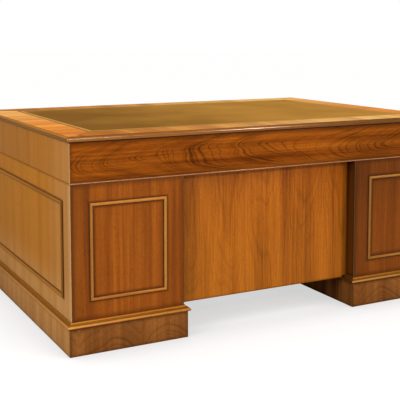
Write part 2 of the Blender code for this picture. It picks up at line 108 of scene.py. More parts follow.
class DeskSizes(bpy.types.PropertyGroup):
    """Sizes of the mouldings and of the small parts."""

    corner_round: length("Corner round", "Rounding of the desk's upright corners", 2.5)
    kneehole: length("Kneehole", "Half the clear width between the pedestals", 400)
    arris: length("Eased arris", "How far the square edges of the boards are rounded", 0.9)
    nose_drop: length("Nose drop", "Depth of the rounded nose under the top's upper edge", 15)
    top_reach: length("Top arris reach", "How far the top's upper edge stands out past the frieze", 4)
    quirk: length("Quirk", "Small step between the nose and the flat top", 1.5)
    top_cove: length("Top cove", "Rise of the hollow under the nose", 5)
    stringing: length("Stringing", "Width of the dark line between crossbanding and hide", 3.2)
    joint: length("Joint", "Gap between the hide and the crossbanding, and at the frieze's floor", 0.3)
    hide_roll: length("Hide roll", "Rounding of the hide's edge", 0.9)
    tool_inset: length("Tooled line inset", "From the hide's edge to the first tooled line", 2.5)
    tool_width: length("Tooled line width", "Width of one tooled line", 2.6)
    roll_width: length("Gilt roll", "Width of the gilt pattern between the two tooled lines", 14)
    tool_depth: length("Tooled line depth", "How deep the hot wheel presses the hide", 0.45)
    fillet: length("Fillet", "Flat lip over the base moulding's hollow", 4.5)
    base_nose: length("Base nose", "Height of the base moulding's round nose", 11.5)
    bead_quirk: length("Panel quirk", "Flat margin on both sides of a panel bead", 1.8)
    bead_step: length("Panel step", "Thickness of the flat margin of a panel moulding", 2.2)
    cock_bead: length("Cock bead", "Width of the bead round a drawer front", 3.6)
    plate: length("Plate", "Thickness of a handle plate", 2)
    plate_bevel: length("Plate bevel", "Rounded edge of a handle plate", 0.6)
    post_centres: length("Post centres", "Between the two posts of a handle", 76)
    flange: length("Flange", "Radius of a post's foot", 6.6)
    flange_rise: length("Flange rise", "Thickness of a post's foot", 1.6)
    neck: length("Neck", "Radius of a post's neck", 3.4)
    pin: length("Pin", "Radius of a bail's pin", 2)
    pin_gap: length("Pin gap", "Play of a bail's pin in its bore", 0.4)
    bail: length("Bail", "Radius of a bail at its bow", 3)
    drop: length("Drop", "From a bail's pins down to its bow", 34)
    shoulder: length("Shoulder", "How far a bail's neck swings out past its post", 7)
    key_height: length("Keyhole", "Height of a keyhole", 13)
    key_eye: length("Keyhole eye", "Radius of a keyhole's eye", 3.3)
    key_neck: length("Keyhole neck", "Width of a keyhole's slot under the eye", 3)
    key_foot: length("Keyhole foot", "Width of a keyhole's slot at its foot", 4.2)
    thread: length("Thread", "Thickness of the brass thread round a keyhole", 1.2)


class DeskColours(bpy.types.PropertyGroup):
    """Colours of the woods, the hide and the brass, and of the painted shade, highlights and reflections over
    the woods.
    """

    veneer_dark: colour("Veneer, dark", "Dark stripes of the front veneers", "#652F08")
    veneer: colour("Veneer", "Body colour of the front veneers", "#944E10")
    veneer_light: colour("Veneer, light", "Light stripes of the front veneers", "#B7681B")
    panel_dark: colour("Panel, dark", "Dark stripes of the modesty panel", "#743808")
    panel: colour("Panel", "Body colour of the modesty panel", "#A65B10")
    panel_light: colour("Panel, light", "Light stripes of the modesty panel", "#C2711C")
    # The end veneers are paler and more golden than the front veneers: partly their own tone, partly painted
    # light, as the desk's ends are its lit side.
    end_dark: colour("End veneer, dark", "Dark stripes of the end veneers", "#8E5518")
    end: colour("End veneer", "Body colour of the end veneers", "#A5691F")
    end_light: colour("End veneer, light", "Light stripes of the end veneers", "#B67828")
    border_dark: colour("Border, dark", "Dark leaves of the crossbanding", "#9A5410")
    border: colour("Border", "Body colour of the crossbanding", "#B86C1C")
    border_light: colour("Border, light", "Light leaves of the crossbanding", "#D08A34")
    plinth_dark: colour("Plinth, dark", "Dark stripes of the plinths", "#5A3210")
    plinth: colour("Plinth", "Body colour of the plinths", "#855020")
    plinth_light: colour("Plinth, light", "Light stripes of the plinths", "#A56B30")
    honey_dark: colour("Honey, dark", "Dark streaks of the panel mouldings and base noses", "#96581A")
    honey: colour("Honey", "Body colour of the panel mouldings and base noses", "#C07C2C")
    honey_light: colour("Honey, light", "Light streaks of the panel mouldings and base noses", "#D89A44")
    edge_dark: colour("Edge, dark", "Dark streaks of the top's moulded edge", "#6E3A0C")
    edge: colour("Edge", "Body colour of the top's moulded edge", "#8E5412")
    edge_light: colour("Edge, light", "Light streaks of the top's moulded edge", "#AA6C20")
    # The bead's pale, pinkish tone is partly its own colour and partly a painted highlight along its round.
    bead_dark: colour("Bead, dark", "Dark streaks of the bead under the frieze", "#8A5636")
    bead: colour("Bead", "Body colour of the bead under the frieze", "#A87450")
    bead_light: colour("Bead, light", "Light streaks of the bead under the frieze", "#C09068")
    # Painted shade: laid along the edges of the boards, beside the mouldings, in the quirks, under the top's
    # nose and in the keyholes.
    shading: colour("Shading", "Umber glaze along the edges of the boards and in the quirks", "#2A1204")
    # Painted highlights on the corner arrises and along the ends' upright edges, and a painted floor
    # reflection low on the ends.
    rubbed: colour("Rubbed arris", "Corner arrises rubbed through to the pale wood", "#C09A68")
    # Painted reflection of the bright backdrop on the crossbanding, towards the right end and towards the
    # back.
    backdrop_reflection: colour("Bloom", "Creamy bloom of old polish on the crossbanding", "#EAC67A")
    # Painted reflection of the pale floor on the ends, the plinths' outer sides and the base noses, strongest
    # towards the visitor's side.
    floor_reflection: colour("Haze", "Pale haze of wax towards the visitor's end", "#B6AA8E")
    stringing: colour("Stringing", "Rosewood line between crossbanding and hide", "#5A300E")
    hide: colour("Hide", "Antiqued hide", "#734C12")
    # The hide's light tone serves its mottle and also a painted reflection that leaves the hide darker to the
    # left and lighter to the right.
    hide_light: colour("Hide, rubbed", "Where the hide is rubbed lighter", "#AA792C")
    gilt: colour("Gilt", "Gold leaf tooled into the hide", "#B58638")
    brass: colour("Brass", "Lacquered brass", "#E2BC6A")
    oak: colour("Oak", "Bare drawer linings", "#C9A070")
    ground: colour("Floor", "Studio floor", "#F2F1F0")


def sizes():
    """The sizes that the user can set."""
    return bpy.context.scene.desk_sizes


def tone(name, factor=1.0):
    """One of the desk's colours with its alpha, lighter or darker by a factor."""
    shade = getattr(bpy.context.scene.desk_colours, name)
    return tuple(min(1.0, channel * factor) for channel in shade) + (1.0,)


def set_inputs(node, inputs):
    """Set a node's inputs, or link them to other nodes' outputs, by socket or in the sockets' order."""
    for socket, value in inputs.items() if isinstance(inputs, dict) else enumerate(inputs):
        if isinstance(value, bpy.types.NodeSocket):
            node.id_data.links.new(value, node.inputs[socket])
        else:
            node.inputs[socket].default_value = value


def add_node(tree, kind, inputs=(), stops=(), output=0, **settings):
    """Add a node and give back one of its outputs; stops of colours or greys fill a colour ramp."""
    node = tree.nodes.new("ShaderNode" + kind)
    for name, value in settings.items():
        setattr(node, name, value)
    set_inputs(node, inputs)
    if stops:
        while len(node.color_ramp.elements) < len(stops):
            node.color_ramp.elements.new(1.0)
        for element, (place, shade) in zip(node.color_ramp.elements, stops):
            element.position = place
            element.color = shade if isinstance(shade, tuple) else (shade, shade, shade, 1)
    return node.outputs[output]


def new_material(name):
    """A new material: itself, a function that adds a node to it, its shader and the object's coordinates."""
    material = bpy.data.materials.new(name)
    material.use_nodes = True
    add = partial(add_node, material.node_tree)
    return material, add, material.node_tree.nodes["Principled BSDF"], add('TexCoord', output="Object")


def grain_noise(add, place, grain, across_mm, along_mm, detail=2.0, roughness=0.5):
    """Noise drawn out along the grain: streaks across_mm wide and along_mm long."""
    scale = [1 / (across_mm * mm)] * 3
    scale[grain] = 1 / (along_mm * mm)
    stretched = add('VectorMath', (place, scale), operation='MULTIPLY')
    return add('TexNoise', {"Vector": stretched, "Scale": 1.0, "Detail": detail, "Roughness": roughness})


def outline_shade(add, place, axes, low, high, fade):
    """From 1 at a rectangle's outline to 0 a fade away from it, seen square to its plane."""
    offset = add('VectorMath', (place, (low + high) / 2), operation='SUBTRACT')
    offset = add('VectorMath', (offset,), operation='ABSOLUTE')
    offset = add('VectorMath', (offset, (high - low) / 2), operation='SUBTRACT')
    offsets = add('SeparateXYZ', (offset,)).node.outputs
    nearest = add('Math', [offsets[axis] for axis in axes], operation='MAXIMUM')
    nearest = add('Math', (nearest,), operation='ABSOLUTE')
    return add('MapRange', (nearest, 0, fade, 1, 0), interpolation_type='SMOOTHSTEP')


def crown_cut(add, bent, grain, shift, figure):
    """Growth rings of a crown-cut leaf: arches nested along the grain that turn and close to eyes.

    Figure is (middle, across axis, half_mm, ring_mm, crown, drift, strength): crown rings lie in each half of
    the board, and drift is how strongly they turn back on their way.
    """
    middle, across, half_mm, ring_mm, crown, drift_share, strength = figure
    offset = add('VectorMath', (bent, middle + shift), operation='SUBTRACT')
    axes = add('SeparateXYZ', (offset,)).node.outputs
    share = add('Math', (axes[across], half_mm * mm, -half_mm * mm), operation='WRAP')
    share = add('Math', (share, half_mm * mm), operation='DIVIDE')
    arch = add('Math', (share, share), operation='MULTIPLY')
    drift = grain_noise(add, bent, grain, 3.2 * half_mm, 3.6 * half_mm, 0.0)
    waver = grain_noise(add, bent, grain, 0.9 * half_mm, 4.5 * half_mm, 1.0, 0.4)
    rings = add('Math', (arch, crown), operation='MULTIPLY')
    along = add('Math', (axes[grain], -1 / (ring_mm * mm)), operation='MULTIPLY')
    for part, weight in ((along, 1.0), (drift, drift_share * abs(crown)), (waver, 1.1 * abs(crown))):
        rings = add('Math', (part, weight, rings), operation='MULTIPLY_ADD')
    # Good years and poor years: rings lie closer here and wider there, and some are faint
    years = add('TexNoise', {"W": rings, "Scale": 0.8, "Detail": 1.0}, noise_dimensions='1D')
    rings = add('Math', (years, 2.6, rings), operation='MULTIPLY_ADD')
    ring = add('Math', (rings,), operation='FRACT')
    depth = add('ValToRGB', (ring,), ((0, 0), (0.07, 0.6), (0.32, 1), (0.8, 0.82), (1, 0)))
    patch = grain_noise(add, bent, grain, 1.6 * half_mm, 3 * half_mm, 1.0)
    faintest = add('MapRange', (patch, 0.35, 0.62, 1 - 0.3 * strength, 1 - strength))
    line = add('MapRange', (depth, 0, 1, faintest, 1.12))
    cloud = add('MapRange', (patch, 0.56, 0.78, 0, 0.6 * strength))
    return line, cloud


def plain(name, shade, share=1.0, gloss=0.4, specular=0.3):
    """A narrow line of one tone, faintly clouded: painted shade in a quirk or a keyhole, a painted highlight
    on an arris, stringing.
    """
    material, add, shader, place = new_material(name)
    speck_mm = 4
    speck = add('TexNoise', {"Vector": place, "Scale": 1 / (speck_mm * mm), "Detail": 2.0})
    shade = add('ValToRGB', (speck,), ((0.35, tone(shade, 0.8 * share)), (0.65, tone(shade, 1.15 * share))))
    set_inputs(shader, {"Base Color": shade, "Roughness": gloss, "Specular IOR Level": specular})
    return material


def wood(name, timber, grain, seed, share=1.0, band_mm=45, stripe_mm=11, contrast=1.0, figure=None, leaf=None,
         outlines=(), gloss=0.34, specular=0.12):
    """Sliced veneer or a solid length: colour bands, ribbon stripes, fibres and pores along the grain.

    Figure is that of crown_cut; leaf is (axis, width_mm) of the leaves of a crossband; outlines are made by
    edge_shade and lay painted shade, highlights or reflections over the wood.
    """
    material, add, shader, place = new_material(name)
    shift = Vector((0.37, 0.73, 0.51)) * seed
    spot = add('VectorMath', (place, shift), operation='ADD')
    leaf_tone = None
    if leaf:
        axis, width_mm = leaf
        number = add('Math', (add('SeparateXYZ', (spot,), output=axis), width_mm * mm), operation='DIVIDE')
        number = add('Math', (number,), operation='FLOOR')
        leaf_tone = add('TexWhiteNoise', {"W": number}, noise_dimensions='1D')
        jump = add('Math', (leaf_tone, 1.7), operation='MULTIPLY')
        spot = add('VectorMath', (spot, jump), operation='ADD')

    # Boards are never ruler straight, so the grain wanders a few millimetres on its way
    wander = add('TexNoise', {"Vector": spot, "Scale": 2.2, "Detail": 1.0}, output=1)
    wander = add('VectorMath', (wander, (0.5, 0.5, 0.5)), operation='SUBTRACT')
    wander = add('VectorMath', {0: wander, "Scale": wander_mm * mm}, operation='SCALE')
    bent = add('VectorMath', (spot, wander), operation='ADD')

    band = grain_noise(add, bent, grain, band_mm, band_mm * 45, 1.0)
    stripe = grain_noise(add, bent, grain, stripe_mm, stripe_mm * 70, 3.0, 0.6)
    fibre = grain_noise(add, bent, grain, 1.5, 40, 2.0)
    pore = grain_noise(add, bent, grain, 0.55, 9, 0.0)
    blend = band
    for weight, layer in ((stripe_share, stripe), (fibre_share, fibre), (leaf_share, leaf_tone)):
        if layer:
            blend = add('Mix', {0: weight, 2: blend, 3: layer})
    spread = 0.13 / contrast
    stops = ((0.5 - spread, tone(timber + "_dark", share)), (0.5, tone(timber, share)),
             (0.5 + spread, tone(timber + "_light", share)))
    shade = add('ValToRGB', (blend,), stops)

    if figure:
        line, cloud = crown_cut(add, bent, grain, shift, figure)
        shade = add('Mix', {0: 1.0, 6: shade, 7: line}, blend_type='MULTIPLY', **colour_mix)
        shade = add('Mix', {0: cloud, 6: shade, 7: tone(timber + "_dark", 0.8 * share)}, **colour_mix)

    # Pores are short dark dashes that the filler leaves open here and there
    open_pore = add('MapRange', (pore, 0.60, 0.72, 0, 0.5))
    shade = add('Mix', {0: open_pore, 6: shade, 7: tone(timber + "_dark", 0.5 * share)}, **colour_mix)

    # Painted shade along the edges of the boards and beside the mouldings, and painted highlights and
    # reflections, each fading in from an outline
    for axes, low, high, fade, shade_name, strength in outlines:
        near = outline_shade(add, place, axes, low, high, fade)
        patchy = add('MapRange', (band, 0.3, 0.7, 0.6 * strength, strength))
        near = add('Math', (near, patchy), operation='MULTIPLY')
        shade = add('Mix', {0: near, 6: shade, 7: tone(shade_name)}, **colour_mix)

    rough = add('MapRange', (fibre, 0.3, 0.7, gloss - 0.05, gloss + 0.05))
    height = add('Mix', {0: 0.5, 2: fibre, 3: pore})
    bump = add('Bump', {"Height": height, "Strength": 0.12, "Distance": 0.15 * mm})
    set_inputs(shader, {"Base Color": shade, "Roughness": rough, "Normal": bump,
                        "Specular IOR Level": specular})
    return material


def choose(piece=None):
    """Leave edit mode and select one piece alone, or nothing."""
    if bpy.context.object and bpy.context.object.mode != 'OBJECT':
        bpy.ops.object.mode_set(mode='OBJECT')
    bpy.ops.object.select_all(action='DESELECT')
    if piece:
        piece.select_set(True)
        bpy.context.view_layer.objects.active = piece


def edit(piece):
    """Select one piece alone and open it in edit mode, all selected."""
    choose(piece)
    bpy.ops.object.mode_set(mode='EDIT')
    bpy.ops.mesh.select_all(action='SELECT')


def settle(piece):
    """Leave edit mode, bake the piece's place into its mesh and shade its round faces smooth."""
    choose(piece)
    bpy.ops.object.transform_apply(location=True, rotation=True, scale=True)
    bpy.ops.object.shade_smooth_by_angle(angle=smooth_angle)
    return piece


def arc(middle, radii, start, end, steps=round_steps):
    """Points of an elliptical arc as (outwards, upwards), angles in degrees from outwards."""
    turns = [math.radians(start + (end - start) * step / steps) for step in range(steps + 1)]
    return [(middle[0] + radii[0] * math.cos(turn), middle[1] + radii[1] * math.sin(turn)) for turn in turns]


def sweep(name, half_x, half_y, profile, place, turn=(0, 0, 0), frame_only=False, turned=False):
    """Run an (outwards, upwards) profile round a rectangle or, when turned, round an upright axis.

    The result is a closed board, or a mitred frame of moulding when frame_only is set.
    """
    choose()
    if turned:
        bpy.ops.mesh.primitive_circle_add(vertices=32, radius=1, fill_type='NGON')
    else:
        bpy.ops.mesh.primitive_plane_add(size=2)
    piece = bpy.context.object
    piece.name = piece.data.name = name
    piece.scale = (half_x + profile[0][0], half_y + profile[0][0], 1)
    piece.location.z = profile[0][1]
    bpy.ops.object.transform_apply(location=True, rotation=True, scale=True)
    edit(piece)
    bpy.ops.mesh.delete(type='ONLY_FACE')
    bpy.ops.mesh.select_all(action='SELECT')
    for (reach, level), (next_reach, next_level) in zip(profile, profile[1:]):
        bpy.ops.mesh.extrude_edges_move(TRANSFORM_OT_translate={"value": (0, 0, next_level - level)})
        grow = ((half_x + next_reach) / (half_x + reach), (half_y + next_reach) / (half_y + reach), 1)
        bpy.ops.transform.resize(value=grow, center_override=(0, 0, next_level))
    if frame_only:
        bpy.ops.mesh.select_all(action='SELECT')
        bpy.ops.mesh.remove_doubles(threshold=weld)
    else:
        bpy.ops.mesh.edge_face_add()
        bpy.ops.mesh.select_all(action='DESELECT')
        bpy.ops.mesh.select_non_manifold()
        bpy.ops.mesh.edge_face_add()
    bpy.ops.mesh.select_all(action='SELECT')
    bpy.ops.mesh.normals_make_consistent(inside=False)
    bpy.ops.object.mode_set(mode='OBJECT')
    piece.location = place
    piece.rotation_euler = turn
    return settle(piece)


def eased_board(node, ease_share=1.0):
    """A copy of a packed board, merged to clean faces, with its long square arrises rounded."""
    mesh = frame["nodes"][node].data.copy()
    piece = bpy.data.objects.new(node.replace("_", "-"), mesh)
    bpy.context.scene.collection.objects.link(piece)
    mesh.materials.clear()
    edit(piece)
    bpy.ops.mesh.customdata_custom_splitnormals_clear()
    bpy.ops.mesh.remove_doubles(threshold=weld)
    bpy.ops.mesh.dissolve_limited(angle_limit=flat_angle)
    bpy.ops.mesh.select_mode(type='EDGE')
    bpy.ops.mesh.select_all(action='DESELECT')
    shape = bmesh.from_edit_mesh(mesh)
    for edge in shape.edges:
        square = edge.is_manifold and math.radians(80) < edge.calc_face_angle() < math.radians(100)
        edge.select_set(square and edge.is_convex and edge.calc_length() > shortest_arris)
    shape.select_flush_mode()
    bmesh.update_edit_mesh(mesh)
    bpy.ops.mesh.bevel(offset=sizes().arris * ease_share, segments=2, affect='EDGES')
    return settle(piece)


def paint(piece, materials, rule=None):
    """Give a piece its named materials; a rule turns a face into a material's name."""
    piece.data.materials.clear()
    for material in materials.values():
        piece.data.materials.append(material)
    if rule:
        numbers = {name: number for number, name in enumerate(materials)}
        for face in piece.data.polygons:
            face.material_index = numbers[rule(face)]


def edge_shade(node, axes, fade_mm, share=0.55, shade_name="shading", side="both", inset_mm=0):
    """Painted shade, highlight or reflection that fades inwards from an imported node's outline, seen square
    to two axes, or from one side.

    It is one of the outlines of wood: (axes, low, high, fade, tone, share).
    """
    low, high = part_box(node)
    margin = Vector((inset_mm, inset_mm, inset_mm)) * mm
    low = far_low if side == "high" else low + margin
    high = far_high if side == "low" else high - margin
    return axes, low, high, fade_mm * mm, shade_name, share


def painted_end_light(node, reflection_share=0.16, highlight_share=0.4):
    """Painted highlights along an end board's upright edges, and a painted floor reflection towards the
    visitor's side.
    """
    return [edge_shade(node, (1, 1), 45, highlight_share, "rubbed"),
            edge_shade(node, (1, 1), 350, reflection_share, "floor_reflection", "low")]


def on_corner(face):
    """Whether a face of an upright board is one of the narrow ones that round an upright corner."""
    return min(abs(face.normal.x), abs(face.normal.y)) > 0.2 and abs(face.normal.z) < 0.1


def arris_rule(face):
    """A rule for upright boards whose corner faces get a painted highlight."""
    return "rubbed" if on_corner(face) else "veneer"


def way_rule(middle, half_x, half_y):
    """A rule for mitred frames: x for the lengths along X, y for those along Y."""
    def rule(face):
        across = abs(face.center.x - middle[0]) - half_x
        along = abs(face.center.y - middle[1]) - half_y
        return "y" if across > along else "x"
    return rule


def body_of(node):
    """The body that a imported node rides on."""
    for body, members in frame["record"]["behaviour"]["bodies"].items():
        if node in members:
            return body
    raise ValueError("no body holds " + node)


def show(piece, node, materials, rule=None):
    """Paint a piece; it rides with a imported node's body and is shown in its place."""
    paint(piece, materials, rule)
    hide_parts(node)
    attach(piece, body_of(node))


def middle_and_half(node):
    """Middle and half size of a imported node."""
    low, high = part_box(node)
    return (low + high) / 2, (high - low) / 2


class DESK_OT_top(bpy.types.Operator):
    """Moulded top board with crossbanded borders"""

    bl_idname = "desk.top"
    bl_label = "Top"

    leaf_mm = 96
    # How far a face looks upwards: level, on the nose's tip, on the nose's upper part; the tip and upper
    # faces take darker copies of the edge wood as painted shade
    level_share, tip_share, upper_share = 0.99, 0.35, 0.45

    def execute(self, context):
        size = sizes()
        low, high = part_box("table_top")
        hide_low, hide_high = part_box("leather_inset")
        half_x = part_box("frieze_end_right")[1].x
        reach = high.x - half_x
        half_y = (high.y - low.y) / 2 - reach
        thickness = high.z - low.z
        tip = thickness - size.nose_drop
        shoulder = size.top_reach + size.quirk
        lip = reach - size.quirk
        recess = hide_high.x + size.joint - half_x
        profile = arc((lip, 0), (-lip, size.top_cove), 0, 90)
        profile += arc((shoulder, tip), (reach - shoulder, size.nose_drop - size.quirk), 0, 90)
        profile += [(size.top_reach, thickness - size.quirk), (size.top_reach, thickness),
                    (recess + size.stringing, thickness), (recess, thickness),
                    (recess, hide_low.z - size.joint - low.z)]
        board = sweep("table-top", half_x, half_y, profile, (0, (low.y + high.y) / 2, low.z))
        way_of = way_rule((0, 0), half_x, half_y)

        def rule(face):
            way, level, upwards = way_of(face), face.center.z, face.normal.z
            inside = max(abs(face.center.x) - hide_high.x, abs(face.center.y) - hide_high.y)
            if inside < 0:
                return "ground"
            # Painted shade: the cove under the nose and the quirk along the ends take a dark line, and darker
            # copies of the edge wood mark the ends' nose tips and the front nose's upward faces
            if level < low.z + size.top_cove:
                return "glaze"
            if way == "y" and level > high.z - size.quirk and upwards < self.level_share:
                return "glaze"
            if way == "y" and upwards < self.tip_share:
                return "tip_y"
            if way == "x" and level < high.z - weld and upwards > self.upper_share:
                return "upper_x"
            if upwards > self.level_share and level > high.z - weld:
                return "line" if inside < size.stringing else "band_" + way
            return "edge_" + way

        show(board, "table_top", self.materials(), rule)
        return {'FINISHED'}

    def materials(self):
        """Edges and crossbanding, each along the front and along the ends, with the lines between them."""
        # Painted shade darkens the front edge towards the right end; painted reflections of the backdrop
        # lighten the crossbanding towards the right end and towards the back, and the ends' crossbanding is
        # painted lighter overall (share 1.25) with that painted reflection.
        right_shade = edge_shade("table_top", (0, 0), 1300, 0.6, side="high")
        right_reflection = edge_shade("table_top", (0, 0), 1700, 0.65, "backdrop_reflection", "high")
        back_reflection = edge_shade("table_top", (1, 1), 900, 0.45, "backdrop_reflection", "high")
        end_edge = {**solid, "contrast": 0.6, "gloss": 0.4, "specular": 0.1}
        banding = {"band_mm": 60, "stripe_mm": 7, "gloss": 0.5}
        return {
            "edge_x": wood("moulded_edge_mahogany_x", "edge", 0, 3, 0.95, **solid, **bright,
                           outlines=[right_shade]),
            "edge_y": wood("moulded_edge_mahogany_y", "end", 1, 4, 0.95, **end_edge),
            "band_x": wood("crossband_veneer_front", "border", 1, 5, 0.84, **banding, contrast=0.8,
                           leaf=(0, self.leaf_mm), specular=0.04, outlines=[right_reflection]),
            "band_y": wood("crossband_veneer_ends", "border", 0, 6, 1.25, **banding, contrast=0.6,
                           leaf=(1, self.leaf_mm), specular=0.1, outlines=[back_reflection]),
            "ground": wood("top_ground_timber", "veneer", 0, 7),
            "line": plain("rosewood_stringing", "stringing"),
            "glaze": plain("umber_glaze_under_nose", "shading"),
            "tip_y": wood("moulded_edge_tip_mahogany_y", "end", 1, 8, 0.5, **end_edge),
            "upper_x": wood("moulded_edge_upper_mahogany_x", "edge", 0, 9, 0.8, **solid, specular=0.05,
                            outlines=[right_shade]),
        }


class DESK_OT_hide(bpy.types.Operator):
    """Hide let into the top, with a tooled line round it"""

    bl_idname = "desk.hide"
    bl_label = "Hide"

    mottle_mm, crease_mm, pebble_mm = 260, 9, 1.4
    worn_mm, lozenge_mm = 12, 7

    def execute(self, context):
        size = sizes()
        middle, half = middle_and_half("leather_inset")
        thickness = 2 * half.z
        roll, depth, width = size.hide_roll, size.tool_depth, size.tool_width
        profile = [(0, 0)] + arc((-roll, thickness - roll), (roll, roll), 0, 90, 4)
        for start in (size.tool_inset, size.tool_inset + width + size.roll_width):
            profile += [(-start, thickness), (-start - depth, thickness - depth),
                        (depth - start - width, thickness - depth), (-start - width, thickness)]
        sheet = sweep("leather-inset", half.x, half.y, profile, middle - Vector((0, 0, half.z)))
        groove_level = middle.z + half.z - 0.8 * depth
        inner_edge = size.tool_inset + 2 * width + size.roll_width

        def rule(face):
            if face.normal.z < 0.9:
                return "hide"
            if face.center.z < groove_level:
                return "line"
            inset = min(half.x - abs(face.center.x - middle.x), half.y - abs(face.center.y - middle.y))
            return "roll" if size.tool_inset < inset < inner_edge else "hide"

        materials = {"hide": self.hide_material(), "line": self.tooled_material("gilt_line", 1.0),
                     "roll": self.tooled_material("gilt_roll", 0.55)}
        show(sheet, "leather_inset", materials, rule)
        return {'FINISHED'}

    def hide_material(self):
        """Waxed and glazed hide: mottled by dye worked in by hand, painted darker to the left and lighter to
        the right as a painted reflection, with a fine pebble that breaks the gloss.
        """
        material, add, shader, place = new_material("glazed_hide")
        mottle = add('TexNoise', {"Vector": place, "Scale": 1 / (self.mottle_mm * mm), "Detail": 3.0,
                                  "Roughness": 0.45})
        mottle = add('Math', (mottle, 0.3, 0.35), operation='MULTIPLY_ADD')
        # Painted reflection: darker to the left and lighter to the right along X
        along = add('SeparateXYZ', (place,))
        painted_reflection = add('MapRange', (along, -0.55, 0.25, -0.14, 0.07), interpolation_type='SMOOTHSTEP')
        mottle = add('Math', (mottle, painted_reflection), operation='ADD')
        shade = add('ValToRGB', (mottle,), ((0.34, tone("hide")), (0.66, tone("hide_light"))))
        pebble = add('TexVoronoi', {"Vector": place, "Scale": 1 / (self.pebble_mm * mm)}, feature='SMOOTH_F1')
        crease = add('TexNoise', {"Vector": place, "Scale": 1 / (self.crease_mm * mm), "Detail": 3.0})
        height = add('Mix', {0: 0.4, 2: pebble, 3: crease})
        bump = add('Bump', {"Height": height, "Strength": 0.3, "Distance": 0.2 * mm})
        set_inputs(shader, {"Base Color": shade, "Roughness": 0.75, "Normal": bump,
                            "Specular IOR Level": 0.05})
        return material

    def tooled_material(self, name, cover):
        """Gold leaf pressed into the hide: worn here and there, in lozenges where the cover is partial."""
        material, add, shader, place = new_material(name)
        axes = add('SeparateXYZ', (place,)).node.outputs
        # Lozenges: two crossing waves of gold
        waves = []
        for axis in (0, 1):
            turn = add('Math', (axes[axis], 2 * math.pi / (self.lozenge_mm * mm)), operation='MULTIPLY')
            waves.append(add('Math', (turn,), operation='COSINE'))
        crossed = add('Math', waves, operation='ADD')
        worn = add('TexNoise', {"Vector": place, "Scale": 1 / (self.worn_mm * mm), "Detail": 2.0})
        gold = add('Math', (worn, 2.0, crossed), operation='MULTIPLY_ADD')
        gold = add('MapRange', (gold, 1.0 - 3.0 * cover, 1.6 - 3.0 * cover))
        shade = add('Mix', {0: gold, 6: tone("hide", 0.8), 7: tone("gilt")}, **colour_mix)
        set_inputs(shader, {"Base Color": shade, "Roughness": 0.45, "Specular IOR Level": 0.3})
        return material


class DESK_OT_frieze(bpy.types.Operator):
    """Figured front board, end boards, dividers and the beaded floor of the top section"""

    bl_idname = "desk.frieze"
    bl_label = "Frieze"

    def execute(self, context):
        rubbed = plain("rubbed_arris_frieze", "rubbed")
        node = "frieze_front_board"
        middle, half = middle_and_half(node)
        # Painted shade along the board's edges, under the top's nose among them, and darker towards the right
        # end where less light falls
        veneer = wood("crown_cut_walnut_veneer", "veneer", 0, 5, 1.04, 55, 11, 0.9, specular=0.03,
                      figure=(middle, 2, half.z / mm, 44, 4.6, 0.9, 0.75),
                      outlines=(edge_shade(node, (0, 2), 22),
                                edge_shade(node, (0, 0), 1100, 0.42, side="high")))
        show(eased_board(node), node, {"veneer": veneer, "rubbed": rubbed}, arris_rule)
        for number, word in enumerate(("left", "right")):
            node = "frieze_end_" + word
            veneer = wood(node + "_veneer", "end", 2, 15 + number, 1.0, 60, 9, 0.4, **dulled,
                          outlines=painted_end_light(node, 0.1, 0.2))
            show(eased_board(node), node, {"veneer": veneer, "rubbed": rubbed}, arris_rule)
        for number, word in enumerate(("left", "right")):
            node = "frieze_divider_" + word
            show(eased_board(node), node, {"veneer": wood(node + "_veneer", "veneer", 2, 13 + number)})
        self.beaded_floor()
        return {'FINISHED'}

    def beaded_floor(self):
        """The floor of the frieze, whose lip shows as a bead round the desk."""
        joint = sizes().joint
        low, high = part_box("frieze_floor")
        end_low, end_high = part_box("frieze_end_right")
        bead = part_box("frieze_front_board")[0].z - joint - low.z
        half_x = end_high.x
        reach = high.x - half_x
        half_y = high.y - reach
        setback = half_x - end_low.x + joint
        profile = arc((reach - bead / 2, bead / 2), (bead / 2, bead / 2), -90, 90)
        profile += [(-setback, bead), (-setback, high.z - low.z)]
        floor = sweep("frieze-floor", half_x, half_y, profile, (0, (low.y + high.y) / 2, low.z))
        # The front bead's pale tone carries a painted highlight along its round
        materials = {"x": wood("bead_mahogany_x", "bead", 0, 21, 0.9, **solid, **bright),
                     "y": wood("bead_mahogany_y", "end", 1, 22, 0.8, **end_solid)}
        show(floor, "frieze_floor", materials, way_rule((0, 0), half_x, half_y))


class DESK_OT_modesty(bpy.types.Operator):
    """Striped modesty panel, set back in the kneehole"""

    bl_idname = "desk.modesty"
    bl_label = "Modesty panel"

    def execute(self, context):
        node = "modesty_panel"
        # Painted shade along all edges, wider beside the left pedestal and at the right, and painted light
        # from the floor rising towards the bottom edge in the end veneers' light tone
        edges = (edge_shade(node, (0, 2), 11, 0.5), edge_shade(node, (0, 0), 110, 0.4, side="low"),
                 edge_shade(node, (0, 0), 70, 0.45, side="high"),
                 edge_shade(node, (2, 2), 500, 0.2, "end_light", "low"))
        figure = (middle_and_half(node)[0], 0, 90, 190, 3.5, 0.8, 0.2)
        veneer = wood("crown_cut_teak_veneer", "panel", 2, 2, 0.94, 70, 6, 0.95, figure=figure,
                      outlines=edges)
        show(eased_board(node), node, {"veneer": veneer})
        return {'FINISHED'}


